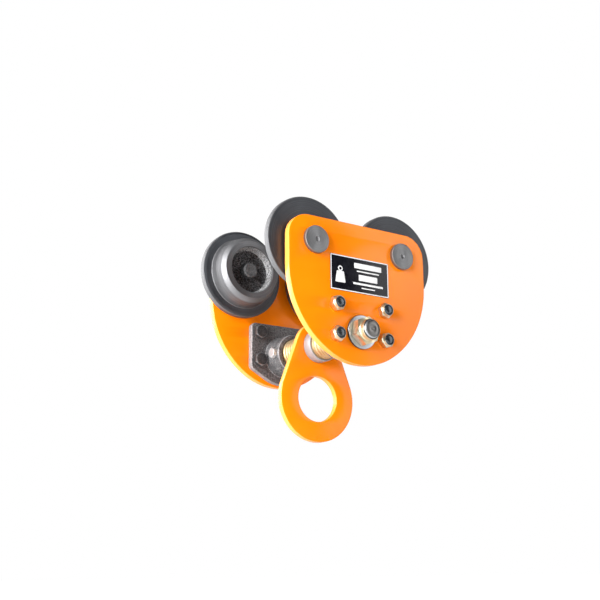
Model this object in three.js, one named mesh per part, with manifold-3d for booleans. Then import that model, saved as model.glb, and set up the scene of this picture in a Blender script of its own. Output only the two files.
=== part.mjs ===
// Adjustable beam trolley, 2 t: four flanged wheels run on the lower flange of an I-beam, and a suspension eye
// hangs from a left-and-right-hand threaded spindle that sets the distance between the two side frames.
// Millimetres, +Z up, +X along the beam, +Y across it. The origin is on the beam's centre line, on the plane
// where the wheel treads rest on the flange.
import * as THREE from "three";
import { mergeVertices } from "three/addons/utils/BufferGeometryUtils.js";
import Module from "manifold-3d";

// --- Driving dimensions -------------------------------------------------------------------------------------
const FIT = 0.3; // clearance left between touching pieces

const WHEEL_BASE = 138; // between the two axles of one side
const TREAD_RADIUS = 48; // at the middle of the tapered tread
const AXLE_Z = TREAD_RADIUS;
const SPINDLE_DROP = 112; // from the axles down to the spindle
const SPINDLE_Z = AXLE_Z - SPINDLE_DROP;

const PLATE = {
  halfWidth: 108.5,
  thickness: 10,
  outerY: 102.5, // outer face, from the beam's centre plane, at the widest setting
  top: 144.5, // above the spindle
  bottom: 42, // below the spindle
  cornerRadius: 30,
  bottomRadius: 96,
  flankRadius: 121,
};
const PLATE_INNER_Y = PLATE.outerY - PLATE.thickness;

const THREAD = { radius: 20, endRadius: 12 }; // Tr40 x 7 spindle with M24 ends
const STOP_WASHER = { radius: 22, thickness: 3.6 };
const SPINDLE_NUT = { acrossFlats: 33, hexHeight: 12, collarRadius: 13.6, height: 19, turn: 9 };
const SPINDLE_END_Y = PLATE.outerY + 25.8;

const EYE = {
  thickness: 9,
  drop: 71, // from the spindle down to the eye's centre
  holeRadius: 30.6,
  outerRadius: 57.7,
  topRadius: 32,
};
const COLLAR = { radius: 22.5, length: 15 };

const HOUSING = {
  halfWidth: 50.5,
  top: 46,
  flange: 9,
  cornerRadius: 7,
  lowerCornerZ: -18.8,
  lowerSlope: 0.55,
  keelRadius: 30,
  bossRadius: 27,
  bossEndY: 51,
};
const BOLT = {
  x: 38.2,
  z: [33, -6.5],
  radius: 6,
  headFlats: 18,
  headHeight: 7.5,
  endY: PLATE.outerY + 11.6,
};
const LOCK_NUT = { acrossFlats: 18, hexHeight: 7.2, collarRadius: 8, height: 10.5 };
const LOCK_SCREW = {
  radius: 4,
  headFlats: 13,
  headHeight: 5.5,
  y: 60.8,
  padRadius: 9,
  padX: 27.5,
};

const WHEEL = {
  flangeRadius: 62,
  flangeWidth: 10,
  plateGap: 4.2,
  treadRoot: 49.5,
  treadTip: 46.5,
  treadTaperLength: 20,
  faceRadius: 41.5,
  treadLength: 27,
  cupRadius: 32.5,
  cupDepth: 15.5,
  cupTaper: 2.5,
  nubRadius: 9,
  nubHeight: 12,
};
const BEARING = { bore: 12.5, innerRace: 15.5, outerRace: 23.5, radius: 26, width: 15, balls: 7 };
const BALL_RADIUS = 3.6;
const BEARING_START = 7.5; // from the side plate's inner face
const CIRCLIP = { thickness: 1.8, groove: 27.6, inner: 23.8, start: BEARING_START - 0.4 - 1.8 };
const AXLE_HEAD = { radius: 18, thickness: 5, dimple: 1.6 };
const SPACER_RADIUS = 16;

const RATING_PLATE = { width: 93, height: 47, thickness: 0.8, z: 75, corner: 2 };

const SEGMENTS = { wheel: 24, axle: 16, spindle: 20, bolt: 8, eye: 24 }; // facets round each circle

const COLOUR = {
  paint: { color: 0xff8c0a, roughness: 0.35, metalness: 0 },
  castIron: { color: 0x5a5a5c, roughness: 0.6, metalness: 0.8 },
  steel: { color: 0x77777a, roughness: 0.4, metalness: 0.9 },
  yellowZinc: { color: 0xd9b56a, roughness: 0.3, metalness: 1 },
  whiteZinc: { color: 0xb9bcc2, roughness: 0.3, metalness: 1 },
  blackSteel: { color: 0x2c2c30, roughness: 0.5, metalness: 0.8 },
  label: { color: 0x15151a, roughness: 0.3, metalness: 0 },
};
const MATERIAL = Object.fromEntries(
  Object.entries(COLOUR).map(([name, look]) => [name, new THREE.MeshStandardMaterial(look)]),
);

// --- Solids and booleans ------------------------------------------------------------------------------------
const wasm = await Module();
wasm.setup();

function toSolid(geometry) {
  const bare = geometry.clone();
  bare.deleteAttribute("normal");
  bare.deleteAttribute("uv");
  const merged = mergeVertices(bare, 1e-4);
  return new wasm.Manifold(
    new wasm.Mesh({
      numProp: 3,
      vertProperties: merged.attributes.position.array,
      triVerts: new Uint32Array(merged.index.array),
    }),
  );
}

function toGeometry(solid) {
  const mesh = solid.getMesh();
  const geometry = new THREE.BufferGeometry();
  geometry.setAttribute("position", new THREE.BufferAttribute(mesh.vertProperties, 3));
  geometry.setIndex(new THREE.BufferAttribute(mesh.triVerts, 1));
  geometry.computeVertexNormals();
  return geometry;
}

const joined = (...geometries) => toGeometry(geometries.map(toSolid).reduce((a, b) => a.add(b)));
const cut = (body, ...tools) =>
  toGeometry(tools.map(toSolid).reduce((a, b) => a.subtract(b), toSolid(body)));

// A solid of revolution about Y. The profile is a list of [radius, y], with y rising along its outside.
const turned = (profile, segments) =>
  new THREE.LatheGeometry(
    profile.map(([radius, y]) => new THREE.Vector2(radius, y)),
    segments,
  );

// A ring about Y, between two radii and two heights.
function ring(innerRadius, outerRadius, low, high, segments) {
  const corners = [
    [innerRadius, low],
    [outerRadius, low],
    [outerRadius, high],
    [innerRadius, high],
    [innerRadius, low],
  ];
  return turned(corners, segments);
}

const rod = (radius, low, high, segments) =>
  turned(
    [
      [0, low],
      [radius, low],
      [radius, high],
      [0, high],
    ],
    segments,
  );

// A flat outline in X and Z, made solid from y = low to y = high.
function slab(shape, low, high, curveSegments = 12) {
  const geometry = new THREE.ExtrudeGeometry(shape, {
    depth: high - low,
    bevelEnabled: false,
    curveSegments,
  });
  return geometry.rotateX(Math.PI / 2).translate(0, high, 0);
}

function circle(x, z, radius, segments) {
  const path = new THREE.Path();
  for (let i = 0; i < segments; i++) {
    const a = (2 * Math.PI * i) / segments;
    const point = [x + radius * Math.sin(a), z + radius * Math.cos(a)];
    if (i === 0) path.moveTo(...point);
    else path.lineTo(...point);
  }
  path.closePath();
  return path;
}

function hexagon(acrossFlats) {
  const corner = acrossFlats / Math.sqrt(3);
  return new THREE.Shape(circle(0, 0, corner, 6).getPoints());
}

// --- Side plate, rating plate and nut housing, on the near side ---------------------------------------------
// The outline is symmetric: a flat top with round corners, straight sides, two flank arcs and a bottom arc.
function plateOutline() {
  const { halfWidth, cornerRadius, bottomRadius, flankRadius } = PLATE;
  const top = SPINDLE_Z + PLATE.top;
  const bottomCentre = SPINDLE_Z - PLATE.bottom + bottomRadius;
  const flankX = flankRadius - halfWidth;
  const reach = flankRadius - bottomRadius;
  const flankCentre = bottomCentre + Math.sqrt(reach ** 2 - flankX ** 2);
  const meet = Math.atan2(bottomCentre - flankCentre, flankX);
  const shape = new THREE.Shape();
  shape.moveTo(-halfWidth + cornerRadius, top);
  shape.absarc(-halfWidth + cornerRadius, top - cornerRadius, cornerRadius, Math.PI / 2, Math.PI, false);
  shape.absarc(flankX, flankCentre, flankRadius, Math.PI, Math.PI - meet, false);
  shape.absarc(0, bottomCentre, bottomRadius, Math.PI - meet, 2 * Math.PI + meet, false);
  shape.absarc(-flankX, flankCentre, flankRadius, meet, 0, false);
  shape.absarc(halfWidth - cornerRadius, top - cornerRadius, cornerRadius, 0, Math.PI / 2, false);
  return shape;
}

const boltPlaces = BOLT.z.flatMap((z) => [-1, 1].map((side) => [side * BOLT.x, SPINDLE_Z + z]));

function sidePlate() {
  const shape = plateOutline();
  const axles = [-1, 1].map((side) =>
    circle((side * WHEEL_BASE) / 2, AXLE_Z, BEARING.bore + FIT, SEGMENTS.axle),
  );
  const bolts = boltPlaces.map(([x, z]) => circle(x, z, BOLT.radius + FIT, SEGMENTS.bolt));
  const bore = circle(0, SPINDLE_Z, THREAD.radius + 2 * FIT, SEGMENTS.spindle);
  shape.holes.push(...axles, ...bolts, bore);
  return slab(shape, -PLATE.outerY, -PLATE_INNER_Y, 6);
}

function ratingPlate() {
  const { width, height, corner, thickness } = RATING_PLATE;
  const right = width / 2 - corner;
  const up = height / 2 - corner;
  const z = SPINDLE_Z + RATING_PLATE.z;
  const shape = new THREE.Shape();
  shape.absarc(right, z + up, corner, 0, Math.PI / 2, false);
  shape.absarc(-right, z + up, corner, Math.PI / 2, Math.PI, false);
  shape.absarc(-right, z - up, corner, Math.PI, 1.5 * Math.PI, false);
  shape.absarc(right, z - up, corner, 1.5 * Math.PI, 2 * Math.PI, false);
  return slab(shape, -PLATE.outerY - 0.1 - thickness, -PLATE.outerY - 0.1, 3);
}

// The flange narrows below its bolts to a round keel.
function housingOutline() {
  const { halfWidth, top, cornerRadius, lowerCornerZ, lowerSlope, keelRadius } = HOUSING;
  const slope = Math.atan(lowerSlope);
  const apex = lowerCornerZ - lowerSlope * halfWidth;
  const keelCentre = SPINDLE_Z + apex + keelRadius / Math.cos(slope);
  const inset = cornerRadius * Math.tan((Math.PI / 2 - slope) / 2);
  const shape = new THREE.Shape();
  shape.absarc(halfWidth - cornerRadius, SPINDLE_Z + top - cornerRadius, cornerRadius, 0, Math.PI / 2, false);
  shape.absarc(
    -halfWidth + cornerRadius,
    SPINDLE_Z + top - cornerRadius,
    cornerRadius,
    Math.PI / 2,
    Math.PI,
    false,
  );
  const side = halfWidth - cornerRadius;
  const low = SPINDLE_Z + lowerCornerZ + inset;
  shape.absarc(-side, low, cornerRadius, Math.PI, 1.5 * Math.PI - slope, false);
  shape.absarc(0, keelCentre, keelRadius, 1.5 * Math.PI - slope, 1.5 * Math.PI + slope, false);
  shape.absarc(side, low, cornerRadius, 1.5 * Math.PI + slope, 2 * Math.PI, false);
  return shape;
}

const alongX = (geometry, x, y, z) => geometry.rotateZ(-Math.PI / 2).translate(x, y, z);
const atSpindle = (geometry) => geometry.translate(0, 0, SPINDLE_Z);

function nutHousing() {
  const start = -PLATE_INNER_Y + 0.1;
  const shape = housingOutline();
  shape.holes.push(...boltPlaces.map(([x, z]) => circle(x, z, BOLT.radius + FIT, SEGMENTS.bolt)));
  const flange = slab(shape, start, start + HOUSING.flange, 3);
  const end = -HOUSING.bossEndY;
  const foot = start + HOUSING.flange - 1;
  const boss = turned(
    [
      [0, foot],
      [HOUSING.bossRadius, foot],
      [HOUSING.bossRadius, end - 1.5],
      [HOUSING.bossRadius - 1.5, end],
      [0, end],
    ],
    SEGMENTS.spindle,
  );
  const pad = rod(LOCK_SCREW.padRadius, 0, LOCK_SCREW.padX, 12);
  const padAt = alongX(pad, 0, -LOCK_SCREW.y, SPINDLE_Z);
  const bore = rod(THREAD.radius + 2 * FIT, start - 1, end + 1, SEGMENTS.spindle);
  const screwHole = rod(LOCK_SCREW.radius + FIT, 0, LOCK_SCREW.padX + 1, SEGMENTS.bolt);
  return cut(
    joined(flange, atSpindle(boss), padAt),
    atSpindle(bore),
    alongX(screwHole, 0, -LOCK_SCREW.y, SPINDLE_Z),
  );
}

// --- Fasteners ----------------------------------------------------------------------------------------------
// A hexagon bolt along Y: the head's bearing face is at y = 0 and the shank runs to y = -length.
function hexBolt(radius, acrossFlats, headHeight, length) {
  const head = slab(hexagon(acrossFlats), 0, headHeight);
  const shank = turned(
    [
      [0, -length],
      [radius, -length],
      [radius, 1],
      [0, 1],
    ],
    SEGMENTS.bolt,
  );
  return joined(head, shank);
}

// A lock nut along -Y: a hexagon from y = 0, then a round collar that holds the nylon ring.
function lockNut(size, boreRadius, segments) {
  const hex = hexagon(size.acrossFlats);
  const prism = slab(hex, -size.hexHeight, 0);
  const collar = rod(size.collarRadius, -size.height, -size.hexHeight + 1, segments);
  const bore = rod(boreRadius, -size.height - 1, 1, segments);
  return cut(joined(prism, collar), bore);
}

const lockScrew = () => hexBolt(LOCK_SCREW.radius, LOCK_SCREW.headFlats, LOCK_SCREW.headHeight, 6.6);

// --- Wheel, axle and bearing, with y measured from the side plate's inner face towards the beam -------------
function wheel() {
  const back = WHEEL.plateGap;
  const flangeEnd = back + WHEEL.flangeWidth;
  const face = flangeEnd + WHEEL.treadLength;
  const seatEnd = BEARING_START + BEARING.width + FIT;
  const cupFloor = face - WHEEL.cupDepth;
  const groove = CIRCLIP.start - 0.2;
  const profile = [
    [0, seatEnd + 0.8],
    [17, seatEnd + 0.8],
    [17, seatEnd],
    [BEARING.radius + FIT, seatEnd],
    [BEARING.radius + FIT, BEARING_START - 0.2],
    [CIRCLIP.groove + FIT, BEARING_START - 0.2],
    [CIRCLIP.groove + FIT, groove],
    [BEARING.radius + FIT, groove],
    [BEARING.radius + FIT, back],
    [WHEEL.flangeRadius, back],
    [WHEEL.flangeRadius, flangeEnd - 2],
    [WHEEL.flangeRadius - 2, flangeEnd],
    [WHEEL.treadRoot, flangeEnd],
    [WHEEL.treadTip, flangeEnd + WHEEL.treadTaperLength],
    [WHEEL.faceRadius, face],
    [WHEEL.cupRadius, face],
    [WHEEL.cupRadius - WHEEL.cupTaper, cupFloor],
    [WHEEL.nubRadius + 1, cupFloor],
    [WHEEL.nubRadius, cupFloor + WHEEL.nubHeight],
    [0, cupFloor + WHEEL.nubHeight],
  ];
  return turned(profile, SEGMENTS.wheel);
}

function axle() {
  const outside = -PLATE.thickness - FIT;
  const head = outside - AXLE_HEAD.thickness;
  const end = BEARING_START + BEARING.width - 0.5;
  const shank = BEARING.bore - FIT;
  return turned(
    [
      [0, head + AXLE_HEAD.dimple],
      [AXLE_HEAD.dimple, head],
      [AXLE_HEAD.radius, head],
      [AXLE_HEAD.radius, outside],
      [shank, outside],
      [shank, end],
      [0, end],
    ],
    SEGMENTS.axle,
  );
}

const axleSpacer = () => ring(BEARING.bore, SPACER_RADIUS, 0.1, BEARING_START - 0.2, SEGMENTS.axle);

const bearingInner = () =>
  ring(BEARING.bore, BEARING.innerRace, BEARING_START, BEARING_START + BEARING.width, SEGMENTS.axle);

const bearingOuter = () =>
  ring(BEARING.outerRace, BEARING.radius, BEARING_START, BEARING_START + BEARING.width, SEGMENTS.axle);

// The balls and their cage make one piece: the cage is a thin ring on the balls' pitch circle.
function bearingBalls() {
  const pitch = (BEARING.innerRace + BEARING.outerRace) / 2;
  const middle = BEARING_START + BEARING.width / 2;
  const cage = ring(pitch - 1, pitch + 1, middle - 1.5, middle + 1.5, 2 * BEARING.balls);
  const balls = Array.from({ length: BEARING.balls }, (_, i) => {
    const angle = (2 * Math.PI * i) / BEARING.balls;
    const ball = new THREE.IcosahedronGeometry(BALL_RADIUS);
    return ball.translate(pitch * Math.cos(angle), middle, pitch * Math.sin(angle));
  });
  return joined(cage, ...balls);
}

// An internal retaining ring: a C of 320 degrees with a round lug at each end.
function circlip() {
  const opening = (20 * Math.PI) / 180;
  const outer = CIRCLIP.groove;
  const shape = new THREE.Shape();
  shape.absarc(0, 0, outer, opening, 2 * Math.PI - opening, false);
  shape.absarc(0, 0, CIRCLIP.inner, 2 * Math.PI - opening, opening, true);
  const plain = slab(shape, CIRCLIP.start, CIRCLIP.start + CIRCLIP.thickness, 9);
  const lugs = [-1, 1].map((side) => {
    const angle = side * (opening + 0.06);
    const lug = rod(2.6, CIRCLIP.start, CIRCLIP.start + CIRCLIP.thickness, 6);
    const radius = CIRCLIP.inner - 0.6;
    return lug.translate(radius * Math.cos(angle), 0, radius * Math.sin(angle));
  });
  return joined(plain, ...lugs);
}

// --- Spindle, collars and eye -------------------------------------------------------------------------------
function spindle() {
  const shoulder = PLATE.outerY + 0.1;
  const half = [
    [THREAD.radius, shoulder - 1.5],
    [THREAD.radius - 1.5, shoulder],
    [THREAD.endRadius, shoulder],
    [THREAD.endRadius, SPINDLE_END_Y - 1.5],
    [THREAD.endRadius - 1.5, SPINDLE_END_Y],
    [0, SPINDLE_END_Y],
  ];
  const otherHalf = half.map(([radius, y]) => [radius, -y]).reverse();
  return turned([...otherHalf, ...half], SEGMENTS.spindle);
}

const collar = () =>
  ring(
    THREAD.radius + FIT,
    COLLAR.radius,
    EYE.thickness / 2 + FIT,
    EYE.thickness / 2 + FIT + COLLAR.length,
    SEGMENTS.spindle,
  );

const stopWasher = () =>
  ring(THREAD.endRadius + FIT, STOP_WASHER.radius, -STOP_WASHER.thickness, 0, SEGMENTS.spindle);

// A round top over the spindle and a larger ring round the eye, joined by their common tangents.
function eyePlate() {
  const { outerRadius, topRadius, drop, thickness, holeRadius } = EYE;
  const lean = Math.asin((outerRadius - topRadius) / drop);
  const centre = SPINDLE_Z - drop;
  const shape = new THREE.Shape();
  shape.absarc(0, SPINDLE_Z, topRadius, lean, Math.PI - lean, false);
  shape.absarc(0, centre, outerRadius, Math.PI - lean, 2 * Math.PI + lean, false);
  shape.holes.push(
    circle(0, SPINDLE_Z, THREAD.radius + 2 * FIT, SEGMENTS.spindle),
    circle(0, centre, holeRadius, SEGMENTS.eye),
  );
  return slab(shape, -thickness / 2, thickness / 2, 12);
}

// --- Assembly -----------------------------------------------------------------------------------------------
const trolley = new THREE.Group();

function place(parent, name, geometry, material, x = 0, y = 0, z = 0) {
  const mesh = new THREE.Mesh(geometry, MATERIAL[material]);
  mesh.name = name;
  mesh.position.set(x, y, z);
  parent.add(mesh);
  return mesh;
}

// One side frame, drawn as the near one. The far frame is the same turned half a turn about Z, so its left
// and right are swapped.
function sideFrame(side) {
  const frame = new THREE.Group();
  const names = side === "near" ? ["left", "right"] : ["right", "left"];
  place(frame, `side_plate_${side}`, sidePlate(), "paint");
  place(frame, `nut_housing_${side}`, nutHousing(), "castIron");

  names.forEach((name, i) => {
    const x = ((i === 0 ? -1 : 1) * WHEEL_BASE) / 2;
    const at = [x, -PLATE_INNER_Y, AXLE_Z];
    const tag = `${side}_${name}`;
    place(frame, `wheel_${tag}`, wheel(), "castIron", ...at);
    place(frame, `axle_${tag}`, axle(), "steel", ...at);
    place(frame, `axle_spacer_${tag}`, axleSpacer(), "whiteZinc", ...at);
    place(frame, `bearing_inner_${tag}`, bearingInner(), "steel", ...at);
    place(frame, `bearing_balls_${tag}`, bearingBalls(), "steel", ...at);
    place(frame, `bearing_outer_${tag}`, bearingOuter(), "steel", ...at);
    place(frame, `bearing_circlip_${tag}`, circlip(), "blackSteel", ...at);
  });

  const headFace = -PLATE_INNER_Y + 0.1 + HOUSING.flange + 0.1;
  const length = BOLT.endY + headFace;
  boltPlaces.forEach(([x, z], i) => {
    const tag = `${side}_${i < 2 ? "upper" : "lower"}_${names[i % 2]}`;
    const bolt = hexBolt(BOLT.radius, BOLT.headFlats, BOLT.headHeight, length);
    place(frame, `housing_bolt_${tag}`, bolt, "blackSteel", x, headFace, z);
    const nut = lockNut(LOCK_NUT, BOLT.radius + FIT, SEGMENTS.bolt);
    place(frame, `housing_nut_${tag}`, nut, "yellowZinc", x, -PLATE.outerY - 0.1, z);
  });

  const screw = place(frame, `lock_screw_${side}`, lockScrew(), "whiteZinc");
  screw.rotation.z = -Math.PI / 2;
  screw.position.set(LOCK_SCREW.padX + 0.1, -LOCK_SCREW.y, SPINDLE_Z);
  return frame;
}

const near = sideFrame("near");
place(near, "rating_plate", ratingPlate(), "label");
const far = sideFrame("far");
far.rotation.z = Math.PI;
trolley.add(near, far);

place(trolley, "spindle", spindle(), "yellowZinc", 0, 0, SPINDLE_Z);
place(trolley, "eye_plate", eyePlate(), "paint");
["near", "far"].forEach((side) => {
  const end = new THREE.Group();
  if (side === "far") end.rotation.z = Math.PI;
  trolley.add(end);
  const face = -PLATE.outerY - 0.1 - FIT;
  place(end, `stop_washer_${side}`, stopWasher(), "whiteZinc", 0, face, SPINDLE_Z);
  const nut = lockNut(SPINDLE_NUT, THREAD.endRadius + FIT, SEGMENTS.axle);
  const nutMesh = place(end, `spindle_nut_${side}`, nut, "yellowZinc");
  nutMesh.position.set(0, face - STOP_WASHER.thickness - 0.1, SPINDLE_Z);
  nutMesh.rotation.y = (SPINDLE_NUT.turn * Math.PI) / 180;
  const collarMesh = place(end, `collar_${side}`, collar(), "whiteZinc", 0, 0, SPINDLE_Z);
  collarMesh.rotation.x = Math.PI;
});

export default trolley;
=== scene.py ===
"""Adjustable beam trolley: the finished look of every piece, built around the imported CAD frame."""

import math

import bmesh
import bpy
from mathutils import Matrix, Vector, noise


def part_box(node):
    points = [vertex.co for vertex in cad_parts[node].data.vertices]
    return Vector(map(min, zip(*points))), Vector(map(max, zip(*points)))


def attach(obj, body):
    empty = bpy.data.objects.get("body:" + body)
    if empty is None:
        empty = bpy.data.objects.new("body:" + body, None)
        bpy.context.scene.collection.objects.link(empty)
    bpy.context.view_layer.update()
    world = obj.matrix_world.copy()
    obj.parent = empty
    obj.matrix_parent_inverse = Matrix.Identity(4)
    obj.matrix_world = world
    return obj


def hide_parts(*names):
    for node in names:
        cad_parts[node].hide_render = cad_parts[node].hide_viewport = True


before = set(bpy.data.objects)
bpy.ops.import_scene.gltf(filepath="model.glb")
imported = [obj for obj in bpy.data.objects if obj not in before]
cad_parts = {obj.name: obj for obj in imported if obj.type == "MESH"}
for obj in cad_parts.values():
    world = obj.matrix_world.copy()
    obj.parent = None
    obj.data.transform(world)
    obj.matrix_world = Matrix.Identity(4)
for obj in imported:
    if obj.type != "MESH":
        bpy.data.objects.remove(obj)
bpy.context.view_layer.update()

MM = 0.001

# --- Sizes, in metres, in the CAD frame --------------------------------------------------------------------


def box_size(node):
    low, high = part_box(node)
    return high - low


def box_centre(node):
    low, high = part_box(node)
    return (low + high) / 2


SPINDLE_Z = box_centre("spindle").z
AXLE = box_centre("axle_near_right")  # its x and z; the wheels turn about a line along Y
PLATE_LOW, PLATE_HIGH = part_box("side_plate_near")
PLATE_OUTER_Y = PLATE_LOW.y
PLATE_INNER_Y = PLATE_HIGH.y
HALF_TURN = Matrix.Rotation(math.pi, 4, "Z")  # takes the near side frame to the far one

THREAD_RADIUS = box_size("spindle").x / 2
THREAD_PITCH = 6 * MM
THREAD_DEPTH = 1.1 * MM
END_RADIUS = 12 * MM
BOLT_RADIUS = 6 * MM
BOLT_FLATS = 18 * MM
BOLT_HOLE_RADIUS = BOLT_RADIUS + 0.4 * MM
BOLT_X = 38.2 * MM
BOLT_Z = (33 * MM, -6.5 * MM)  # above the spindle

# --- Meshes ------------------------------------------------------------------------------------------------

MERGE_DISTANCE = 1e-6
STRAIGHT = math.pi / 2 - 0.01  # half the angle at a corner that is too flat to round
CORNER_SHARE = 0.49  # the most that one rounded corner takes of a side
RIM_NORMAL = 0.6  # a slab's face belongs to its rim if its normal leans less than this towards Y


def rounded(points, radii, steps=4, closed=False):
    """The outline with its corners rounded. radii is one radius, or one for each corner."""
    count = len(points)
    radii = [radii] * count if isinstance(radii, (int, float)) else list(radii)
    out = []
    for i, point in enumerate(points):
        here = Vector(point)
        at_end = not closed and i in (0, count - 1)
        if at_end or radii[i] <= 0:
            out.append(here)
            continue
        before = Vector(points[i - 1]) - here
        after = Vector(points[(i + 1) % count]) - here
        half = before.angle(after) / 2
        if half > STRAIGHT:
            out.append(here)
            continue
        longest = min(before.length, after.length) * CORNER_SHARE
        reach = min(radii[i] / math.tan(half), longest)
        radius = reach * math.tan(half)
        centre = here + (before.normalized() + after.normalized()).normalized() * radius / math.sin(half)
        start = here + before.normalized() * reach - centre
        end = here + after.normalized() * reach - centre
        angle = math.atan2(start.y, start.x)
        sweep = (math.atan2(end.y, end.x) - angle + math.pi) % (2 * math.pi) - math.pi
        for k in range(steps + 1):
            turn = angle + sweep * k / steps
            out.append(centre + radius * Vector((math.cos(turn), math.sin(turn))))
    return out


def arc(x, z, radius, start, end, steps):
    """Points on an arc, in degrees counter-clockwise from +X."""
    angles = (math.radians(start + (end - start) * k / steps) for k in range(steps + 1))
    return [Vector((x + radius * math.cos(a), z + radius * math.sin(a))) for a in angles]


def circle(x, z, radius, steps):
    return arc(x, z, radius, 0, 360, steps)[:-1]


def finish_mesh(mesh, sharp=32):
    """Shades a mesh smooth, except over edges sharper than the angle."""
    bm = bmesh.new()
    bm.from_mesh(mesh)
    bmesh.ops.remove_doubles(bm, verts=bm.verts, dist=MERGE_DISTANCE)
    bmesh.ops.recalc_face_normals(bm, faces=bm.faces)
    bm.to_mesh(mesh)
    bm.free()
    mesh.shade_smooth()
    mesh.set_sharp_from_angle(angle=math.radians(sharp))
    return mesh


def swept(name, rows, segments=96, closed=False, sharp=32, slots=None):
    """A mesh round the Y axis. Each row is (radius, y), or a function of the angle that gives them.
    Rows at radius 0 close to a point. slots gives a material index for each band between two rows."""
    rows = [row if callable(row) else (lambda angle, r=row: r) for row in rows]
    bm = bmesh.new()
    rings = []
    for row in rows:
        if row(0.0)[0] == 0:
            rings.append([bm.verts.new((0, row(0.0)[1], 0))])
            continue
        ring = []
        for i in range(segments):
            angle = 2 * math.pi * i / segments
            radius, y = row(angle)
            ring.append(bm.verts.new((radius * math.sin(angle), y, radius * math.cos(angle))))
        rings.append(ring)
    if closed:
        rings.append(rings[0])
    for band, (low, high) in enumerate(zip(rings, rings[1:])):
        for i in range(segments):
            j = (i + 1) % segments
            if len(low) == 1 and len(high) == 1:
                continue
            if len(low) == 1:
                face = bm.faces.new((low[0], high[j], high[i]))
            elif len(high) == 1:
                face = bm.faces.new((low[i], low[j], high[0]))
            else:
                face = bm.faces.new((low[i], low[j], high[j], high[i]))
            face.material_index = slots[band] if slots else 0
    mesh = bpy.data.meshes.new(name)
    bm.to_mesh(mesh)
    bm.free()
    return finish_mesh(mesh, sharp)


def slab(name, outline, holes, low, high, bevel):
    """An outline in X and Z with holes, solid from y = low to high, its edges rounded."""
    curve = bpy.data.curves.new(name, "CURVE")
    curve.dimensions = "2D"
    curve.fill_mode = "BOTH"
    for loop in (outline, *holes):
        spline = curve.splines.new("POLY")
        spline.points.add(len(loop) - 1)
        for point, (x, z) in zip(spline.points, loop):
            point.co = (x, z, 0, 1)
        spline.use_cyclic_u = True
    curve.extrude = (high - low) / 2 - bevel
    curve.bevel_depth = bevel
    curve.bevel_resolution = 2
    curve.offset = -bevel
    maker = bpy.data.objects.new(name, curve)
    bpy.context.scene.collection.objects.link(maker)
    bpy.context.view_layer.update()
    mesh = bpy.data.meshes.new_from_object(maker.evaluated_get(bpy.context.evaluated_depsgraph_get()))
    bpy.data.objects.remove(maker)
    bpy.data.curves.remove(curve)
    mesh.transform(Matrix.Translation((0, (low + high) / 2, 0)) @ Matrix.Rotation(math.pi / 2, 4, "X"))
    mesh.materials.clear()
    finish_mesh(mesh)
    for face in mesh.polygons:  # the second material, if the piece has one, goes on the cut rims
        face.material_index = 1 if abs(face.normal.y) < RIM_NORMAL else 0
    return mesh


def joined(name, *meshes):
    """Several closed meshes as one, which may overlap."""
    bm = bmesh.new()
    for mesh in meshes:
        bm.from_mesh(mesh)
    result = bpy.data.meshes.new(name)
    bm.to_mesh(result)
    bm.free()
    return result


def modified(mesh, *modifiers):
    """The mesh after modifiers, each (type, {setting: value}). A mesh given as a setting becomes its tool."""
    body = bpy.data.objects.new(mesh.name, mesh)
    bpy.context.scene.collection.objects.link(body)
    tools = []
    for kind, settings in modifiers:
        modifier = body.modifiers.new(kind.lower(), kind)
        for key, value in settings.items():
            if isinstance(value, bpy.types.Mesh):
                value = bpy.data.objects.new("tool", value)
                bpy.context.scene.collection.objects.link(value)
                tools.append(value)
            setattr(modifier, key, value)
    bpy.context.view_layer.update()
    result = bpy.data.meshes.new_from_object(body.evaluated_get(bpy.context.evaluated_depsgraph_get()))
    for made in (*tools, body):
        bpy.data.objects.remove(made)
    return result


def rod(name, radius, low, high):
    return swept(name, [(0, low), (radius, low), (radius, high), (0, high)], segments=24)


def rounded_profile(profile, steps):
    """An open outline from ((radius, y), corner radius) pairs."""
    return rounded([point for point, _ in profile], [corner for _, corner in profile], steps)


def moved(mesh, matrix):
    copy = mesh.copy()
    copy.transform(matrix)
    return copy


def hexagon_row(across_flats, y, chamfer_from=None, slope=0.0):
    """A row on a hexagon's wall. Outside the radius chamfer_from, y falls off by the slope."""

    def row(angle):
        within = angle % (math.pi / 3) - math.pi / 6
        radius = across_flats / 2 / math.cos(within)
        drop = max(0.0, radius - chamfer_from) * slope if chamfer_from else 0.0
        return radius, y - drop

    return row


# --- Materials ---------------------------------------------------------------------------------------------


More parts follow.
